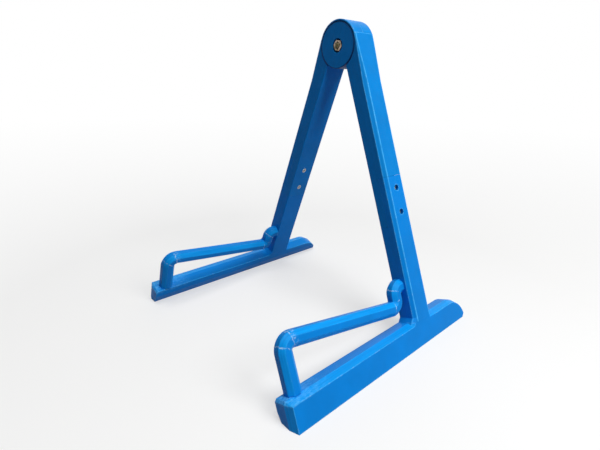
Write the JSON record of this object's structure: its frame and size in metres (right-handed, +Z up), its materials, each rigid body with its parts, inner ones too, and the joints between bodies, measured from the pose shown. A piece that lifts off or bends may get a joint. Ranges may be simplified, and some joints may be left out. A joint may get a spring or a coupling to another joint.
{
  "type": "folding guitar stand",
  "caption": "Folding A-frame floor stand for a guitar: two hinged legs, each on a long foot bar with an octagonal cradle arm that rises in front of the leg.",
  "frame": {"origin": "on the floor, midway between the feet and midway along them", "axes": "+Z up, -Y towards the player's side where the cradle arms point, +X to the right seen from there"},
  "size_m": [0.275, 0.2616, 0.3115],
  "materials": {
    "blue_print": "satin printed plastic with fine layer lines",
    "zinc_steel": "zinc plated steel",
    "yellow_plated_steel": "yellow passivated zinc plated steel"
  },
  "bodies": {
    "right_half": {"right_upper_leg": "blue_print", "right_lower_leg": "blue_print", "right_foot": "blue_print", "right_cradle_arm": "blue_print", "right_upper_leg_screw": "zinc_steel", "right_lower_leg_screw": "zinc_steel", "right_upper_leg_nut": "zinc_steel", "right_lower_leg_nut": "zinc_steel", "hinge_bolt": "yellow_plated_steel", "hinge_nut": "yellow_plated_steel", "hinge_front_washer": "zinc_steel", "hinge_rear_washer": "zinc_steel"},
    "left_half": {"left_upper_leg": "blue_print", "left_lower_leg": "blue_print", "left_foot": "blue_print", "left_cradle_arm": "blue_print", "left_upper_leg_screw": "zinc_steel", "left_lower_leg_screw": "zinc_steel", "left_upper_leg_nut": "zinc_steel", "left_lower_leg_nut": "zinc_steel"}
  },
  "joints": [
    {"name": "fold", "type": "hinge", "parent": "right_half", "child": "left_half", "pos_m": [0, 0.05315, 0.287], "axis": [0, -1, 0], "range_deg": [0, 43.5]}
  ]
}
